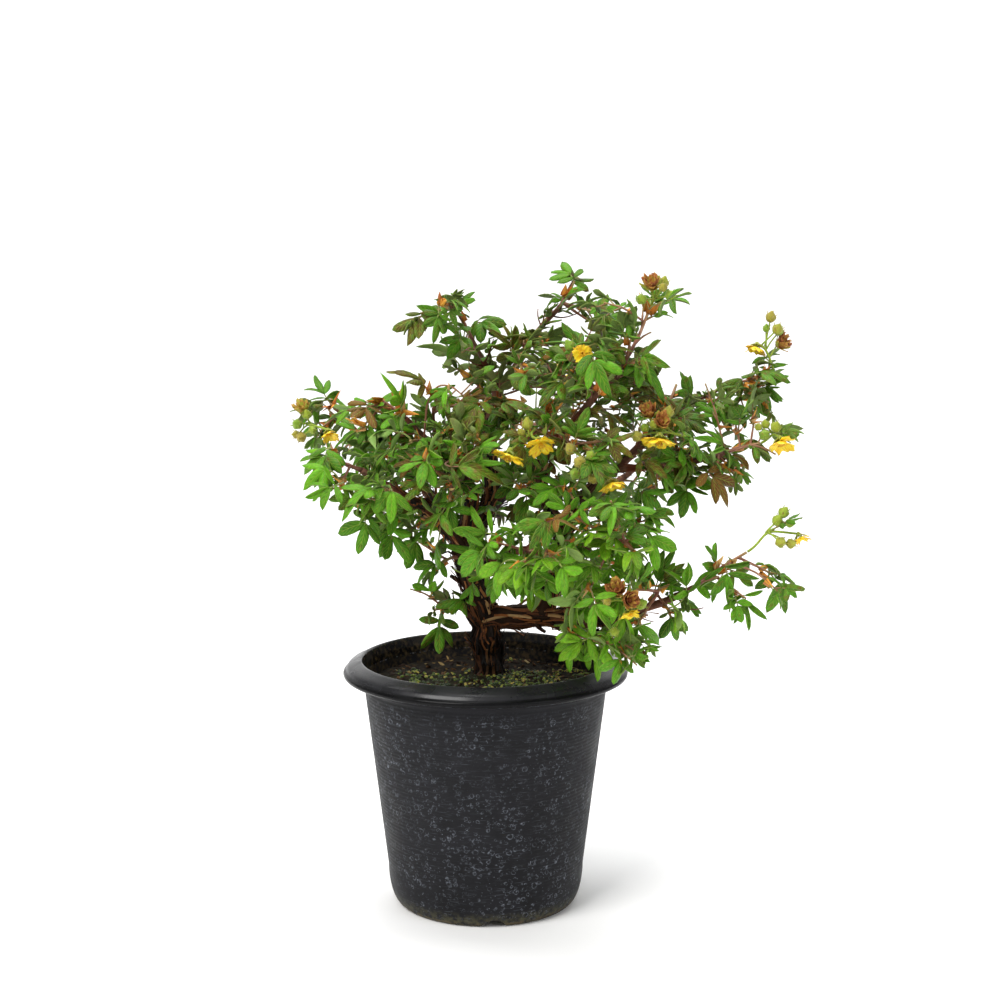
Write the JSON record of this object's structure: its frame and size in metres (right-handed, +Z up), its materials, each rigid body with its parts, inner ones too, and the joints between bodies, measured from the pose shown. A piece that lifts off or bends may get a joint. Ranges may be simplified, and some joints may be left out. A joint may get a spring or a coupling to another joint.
{
  "type": "potted shrubby cinquefoil",
  "caption": "Low spreading yellow-flowered cinquefoil shrub with old peeling wood and leaflet foliage, in a round tapered black nursery pot.",
  "frame": {"origin": "middle of the pot's foot, on the surface that the pot stands on", "axes": "+Z up along the pot's axis, -Y towards the bush's best side, +X to the right seen from there"},
  "size_m": [0.2673, 0.2256, 0.3395],
  "materials": {
    "pot_plastic": "moulded black polypropylene, dull, with a slight sheen on the rim and dried splashes on the wall",
    "potting_soil": "dark bark-based potting soil with moss and bark crumbs",
    "old_bark": "shaggy brown bark that peels in strips",
    "leaf": "soft green leaf with fine hairs, paler beneath",
    "yellow_petal": "thin crumpled yellow petal",
    "dried_petal": "dry brown papery flower",
    "flower_stalk": "hairy yellow-green stalk, bud and sepal"
  },
  "bodies": {
    "root": {"corolla_back": "yellow_petal", "corolla_centre": "yellow_petal", "corolla_left": "yellow_petal", "corolla_low": "yellow_petal", "corolla_middle": "yellow_petal", "corolla_middle_2": "yellow_petal", "corolla_right": "yellow_petal", "corolla_right_high": "yellow_petal", "corolla_right_low": "yellow_petal", "corolla_shoulder": "yellow_petal", "corolla_upper": "yellow_petal", "dried_left": "dried_petal", "dried_low": "dried_petal", "dried_right_high": "dried_petal", "dried_shoulder": "dried_petal", "dried_top": "dried_petal", "head_back": "flower_stalk", "head_centre": "flower_stalk", "head_left": "flower_stalk", "head_low": "flower_stalk", "head_middle": "flower_stalk", "head_right": "flower_stalk", "head_right_high": "flower_stalk", "head_right_low": "flower_stalk", "head_shoulder": "flower_stalk", "head_top": "flower_stalk", "head_upper": "flower_stalk", "pot": "pot_plastic", "soil": "potting_soil", "spray_back": "leaf", "spray_back_left": "leaf", "spray_back_right": "leaf", "spray_centre": "leaf", "spray_centre_right_low": "leaf", "spray_centre_right_mid": "leaf", "spray_centre_right_tip": "leaf", "spray_front": "leaf", "spray_front_right": "leaf", "spray_left_arch": "leaf", "spray_left_foot": "leaf", "spray_left_hang": "leaf", "spray_left_high": "leaf", "spray_left_inner": "leaf", "spray_left_lower": "leaf", "spray_left_mid": "leaf", "spray_left_under": "leaf", "spray_low_back": "leaf", "spray_low_front": "leaf", "spray_low_sprig": "leaf", "spray_right_high": "leaf", "spray_right_inner": "leaf", "spray_right_low": "leaf", "spray_right_low_tip": "leaf", "spray_right_shoulder": "leaf", "spray_right_tip": "leaf", "spray_top": "leaf", "spray_top_inner": "leaf", "spray_upper_left": "leaf", "wood": "old_bark"}
  },
  "joints": []
}
